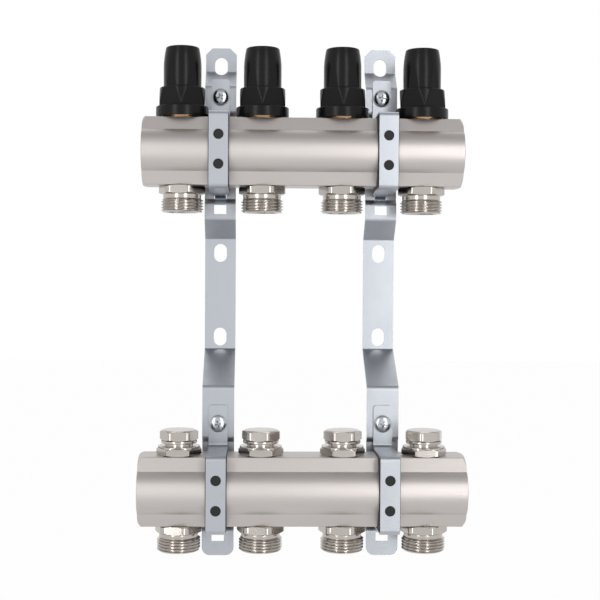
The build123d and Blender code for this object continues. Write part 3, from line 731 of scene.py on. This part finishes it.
@dataclass
class KeptParts:
    """The CAD parts whose shape stays: each gets its finish."""

    finish_of: dict[str, Finish] = field(default_factory=lambda: {
        "nickel_plate": NICKEL_TURNED, "zinc_steel": ZINC, "black_plastic": BLACK_PLASTIC, "bare_brass": BRASS,
        "black_rubber": RUBBER, "stainless": STAINLESS})

    def slot_of(self, name: str) -> str:
        """The record's material slot of a CAD node."""
        starts = {"supply_insert": "bare_brass", "gland_nuts": "bare_brass", "valve_pin": "stainless",
                  "valve_spring": "stainless", "spindle_oring": "black_rubber", "spindle": "bare_brass",
                  "disc_seal": "black_rubber", "port_gaskets": "black_rubber", "cap_seal": "black_rubber",
                  "strap_liners": "black_rubber", "hand_cap": "black_plastic", "clamp_screws": "zinc_steel"}
        for start, slot in starts.items():
            if name.startswith(start):
                return slot
        return "zinc_steel" if "bracket" in name or "strap" in name else "nickel_plate"

    def build(self, finishes: Finishes) -> None:
        """Assigns a material to every CAD node's slots."""
        for name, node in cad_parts.items():
            finish = self.finish_of[self.slot_of(name)]
            if name.endswith("rail"):
                finish = NICKEL_BAR
            material = finishes.get(finish)
            if not node.material_slots:
                node.data.materials.append(material)
            for slot in node.material_slots:
                slot.material = material
            log.info("%s keeps its CAD shape in %s", name, finish.name)


@dataclass
class Studio:
    """Camera, two tall soft lights, a soft top light, pale surroundings and floor."""

    lens: float = 70.217
    shift: tuple[float, float] = (0.01972, -0.00628)
    place: tuple[float, float, float] = (-29.1524, -768.6095, 28.0936)
    yaw: float = -0.028389
    pitch: float = -0.019149
    roll: float = -0.006002
    floor_z: float = -0.62
    surroundings: float = 0.6
    ceiling_fall: float = 0.5

    def camera(self) -> None:
        """Makes the camera at the photograph's viewing angle."""
        turn = (Matrix.Rotation(self.yaw, 3, "Z") @ Matrix.Rotation(self.pitch, 3, "X") @ Matrix.Rotation(self.roll, 3, "Y"))
        right, forward, up = turn.col[0], turn.col[1], turn.col[2]
        data = bpy.data.cameras.new("camera")
        data.lens = self.lens
        data.sensor_width = 36.0
        data.shift_x, data.shift_y = self.shift
        data.clip_start = 0.01
        data.clip_end = 50.0
        eye = bpy.data.objects.new("camera", data)
        matrix = Matrix((right, up, -forward)).transposed().to_4x4()
        matrix.translation = Vector(self.place) * MM
        eye.matrix_world = matrix
        bpy.context.scene.collection.objects.link(eye)
        bpy.context.scene.camera = eye

    def lamp(self, name: str, at: tuple[float, float, float], aim: tuple[float, float, float], size: tuple[float, float],
             watts: float) -> None:
        """Adds one soft light.

        Args:
            name: The lamp's name.
            at: Its place in metres.
            aim: The point that it faces.
            size: Its width and height in metres.
            watts: Its power.
        """
        data = bpy.data.lights.new(name, "AREA")
        data.shape = "RECTANGLE"
        data.size, data.size_y = size
        data.energy = watts
        lamp = bpy.data.objects.new(name, data)
        way = Vector(at) - Vector(aim)
        lamp.matrix_world = Matrix.Translation(at) @ way.to_track_quat("Z", "Y").to_matrix().to_4x4()
        bpy.context.scene.collection.objects.link(lamp)

    def world(self) -> None:
        """Makes the surroundings: white to the camera and in reflections, softer as light."""
        world = bpy.data.worlds.new("surroundings")
        bpy.context.scene.world = world
        world.use_nodes = True
        writer = NodeWriter(world.node_tree)
        path = writer.add("ShaderNodeLightPath")
        seen = Value(writer, path.outputs["Is Camera Ray"]) + Value(writer, path.outputs["Is Transmission Ray"])
        mirrored = Value(writer, path.outputs["Is Glossy Ray"])
        way = writer.value("ShaderNodeTexCoord", "Generated")
        height = Value(writer, writer.add("ShaderNodeSeparateXYZ", {}, {"Vector": way}).outputs["Z"])
        high = writer.value("ShaderNodeClamp", 0, {}, {"Value": (height - 0.5) / 0.4})
        level = 1.0 - high * self.ceiling_fall
        white_colour = (1.0, 1.0, 1.0, 1.0)
        soft = writer.value("ShaderNodeBackground", 0, {}, {"Color": white_colour, "Strength": self.surroundings})
        graded = writer.value("ShaderNodeBackground", 0, {}, {"Color": white_colour, "Strength": level})
        white = writer.value("ShaderNodeBackground", 0, {}, {"Color": white_colour, "Strength": 1.0})
        mixed = writer.value("ShaderNodeMixShader", 0, {}, {0: mirrored, 1: soft, 2: graded})
        shown = writer.value("ShaderNodeMixShader", 0, {}, {0: seen, 1: mixed, 2: white})
        writer.add("ShaderNodeOutputWorld", {}, {"Surface": shown})

    def floor(self) -> None:
        """Lays the pale floor under the manifold."""
        mesh = bpy.data.meshes.new("floor")
        s = 8.0
        mesh.from_pydata([(-s, -s, self.floor_z), (s, -s, self.floor_z), (s, s, self.floor_z), (-s, s, self.floor_z)], [],
                         [(0, 1, 2, 3)])
        material = bpy.data.materials.new("pale_floor")
        material.use_nodes = True
        writer = NodeWriter(material.node_tree)
        path = writer.add("ShaderNodeLightPath")
        seen = Value(writer, path.outputs["Is Camera Ray"]) + Value(writer, path.outputs["Is Transmission Ray"]) \
            + Value(writer, path.outputs["Is Glossy Ray"])
        paint = writer.value("ShaderNodeBsdfDiffuse", 0, {}, {"Color": (0.85, 0.85, 0.85, 1.0)})
        white = writer.value("ShaderNodeEmission", 0, {}, {"Color": (1.0, 1.0, 1.0, 1.0), "Strength": 1.0})
        mixed = writer.value("ShaderNodeMixShader", 0, {}, {0: seen * 0.97, 1: paint, 2: white})
        writer.add("ShaderNodeOutputMaterial", {}, {"Surface": mixed})
        new_piece("floor", mesh, material)

    def build(self) -> None:
        """Sets up the whole studio."""
        self.camera()
        self.world()
        self.floor()
        aim = (0.0, -0.04, 0.0)
        self.lamp("tall_left", (-0.71, -1.13, 0.15), aim, (0.26, 1.3), 5.0)
        self.lamp("tall_right", (0.47, -1.25, 0.15), aim, (0.26, 1.3), 5.0)
        self.lamp("top_soft", (0.0, 0.6, 1.6), aim, (1.2, 0.8), 4.0)
        bpy.context.scene.view_settings.view_transform = "Standard"
        log.info("camera, lights, surroundings and floor are set")


def main() -> None:
    """Builds the classes in order."""
    finishes = Finishes()
    set_out = SetOut()
    Studio().build()
    KeptParts().build(finishes)
    HandCaps().build(finishes)
    Outlets().build(finishes, set_out)
    ReturnValves().build(finishes, set_out)
    ClampScrews().build(finishes, set_out)


if __name__ == "__main__":
    main()
